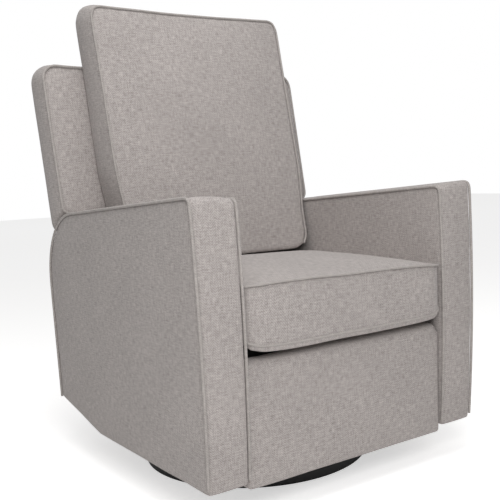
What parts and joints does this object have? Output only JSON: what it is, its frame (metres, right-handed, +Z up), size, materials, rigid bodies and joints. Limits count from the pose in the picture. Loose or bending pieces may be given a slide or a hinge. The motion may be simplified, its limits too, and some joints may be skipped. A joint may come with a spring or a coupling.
{
  "type": "glider nursery chair",
  "caption": "Upholstered nursery armchair that swivels on a round base, glides on hanging links, leans its back and lifts a padded footrest.",
  "frame": {"origin": "on the floor, at the centre of the round base, on the swivel axis", "axes": "+Z up, -Y the way the sitter faces, +X to the right when the chair is seen from the front"},
  "size_m": [0.762, 0.8125, 1.108],
  "materials": {
    "woven_upholstery": "fine warm-grey herringbone weave",
    "deck_cloth": "plain dark decking cloth",
    "elastic_web": "woven elastic band",
    "hardwood": "sawn, unfinished",
    "black_steel": "black powder coat",
    "zinc_steel": "bright zinc plate",
    "floor_rubber": "matt"
  },
  "bodies": {
    "base": {"floor_pad": "floor_rubber", "base_disc": "black_steel", "lower_bearing_plate": "black_steel", "base_bolts": "zinc_steel", "ball_race": "zinc_steel", "king_pin": "zinc_steel"},
    "turntable": {"swivel_plate": "black_steel", "front_cross_rail": "black_steel", "rear_cross_rail": "black_steel", "glide_side_plate_left": "black_steel", "glide_side_plate_right": "black_steel", "glide_top_pins": "zinc_steel"},
    "rear_glide_links": {"rear_glide_link_left": "zinc_steel", "rear_glide_link_right": "zinc_steel"},
    "front_glide_links": {"front_glide_link_left": "zinc_steel", "front_glide_link_right": "zinc_steel"},
    "seat": {"carriage_plate_left": "black_steel", "carriage_plate_right": "black_steel", "glide_low_pins": "zinc_steel", "carriage_stretchers": "black_steel", "side_rail_left": "hardwood", "side_rail_right": "hardwood", "front_rail": "hardwood", "rear_rail": "hardwood", "arm_blocks_left": "hardwood", "arm_blocks_right": "hardwood", "seat_springs": "zinc_steel", "seat_deck": "deck_cloth", "seat_cushion": "woven_upholstery", "rear_panel": "woven_upholstery", "arm_shell_left": "woven_upholstery", "arm_shell_right": "woven_upholstery", "arm_frame_left": "hardwood", "arm_frame_right": "hardwood", "recline_bolts": "zinc_steel", "footrest_hanger_left": "black_steel", "footrest_hanger_right": "black_steel", "footrest_hanger_pins": "zinc_steel"},
    "back": {"back_shell": "woven_upholstery", "recline_bushes": "zinc_steel", "back_upright_left": "hardwood", "back_upright_right": "hardwood", "back_lower_rail": "hardwood", "back_middle_rail": "hardwood", "back_top_rail": "hardwood", "wing_frame_left": "hardwood", "wing_frame_right": "hardwood", "back_webs": "elastic_web", "back_cushion": "woven_upholstery"},
    "footrest_rear_links": {"footrest_rear_link_left": "zinc_steel", "footrest_rear_link_right": "zinc_steel", "footrest_knee_pins": "zinc_steel"},
    "footrest_front_links": {"footrest_front_link_left": "zinc_steel", "footrest_front_link_right": "zinc_steel", "footrest_cross_tube": "black_steel"},
    "footrest": {"footrest_pad": "woven_upholstery", "footrest_board": "hardwood", "footrest_bracket_left": "black_steel", "footrest_bracket_right": "black_steel", "footrest_panel_pins": "zinc_steel"}
  },
  "joints": [
    {"name": "swivel", "type": "hinge", "parent": "base", "child": "turntable", "pos_m": [0, 0, 0], "axis": [0, 0, 1], "continuous": true},
    {"name": "glide", "type": "hinge", "parent": "turntable", "child": "rear_glide_links", "pos_m": [0, 0.14, 0.2], "axis": [1, 0, 0], "range_deg": [-28, 28]},
    {"name": "front_link_swing", "type": "hinge", "parent": "turntable", "child": "front_glide_links", "pos_m": [0, -0.14, 0.2], "axis": [1, 0, 0], "range_deg": [-28.5, 28.5]},
    {"name": "seat_level", "type": "hinge", "parent": "rear_glide_links", "child": "seat", "pos_m": [0, 0.14, 0.09], "axis": [1, 0, 0], "range_deg": [-28.5, 28.5]},
    {"name": "recline", "type": "hinge", "parent": "seat", "child": "back", "pos_m": [0, 0.27, 0.43], "axis": [-1, 0, 0], "range_deg": [0, 30]},
    {"name": "footrest_lift", "type": "hinge", "parent": "seat", "child": "footrest_rear_links", "pos_m": [0, -0.15, 0.31], "axis": [-1, 0, 0], "range_deg": [0, 98.4]},
    {"name": "footrest_knee", "type": "hinge", "parent": "footrest_rear_links", "child": "footrest_front_links", "pos_m": [0, -0.12, 0.097], "axis": [-1, 0, 0], "range_deg": [-111, 0.5]},
    {"name": "footrest_turn", "type": "hinge", "parent": "footrest_front_links", "child": "footrest", "pos_m": [0, -0.325, 0.212], "axis": [-1, 0, 0], "range_deg": [-0.5, 102.6]}
  ],
  "couplings": [
    {"joint": "front_link_swing", "follows": "glide", "ratio": 1},
    {"joint": "seat_level", "follows": "glide", "ratio": -1},
    {"joint": "footrest_knee", "follows": "footrest_lift", "ratio": -1.1259},
    {"joint": "footrest_turn", "follows": "footrest_lift", "ratio": 1.0399}
  ]
}
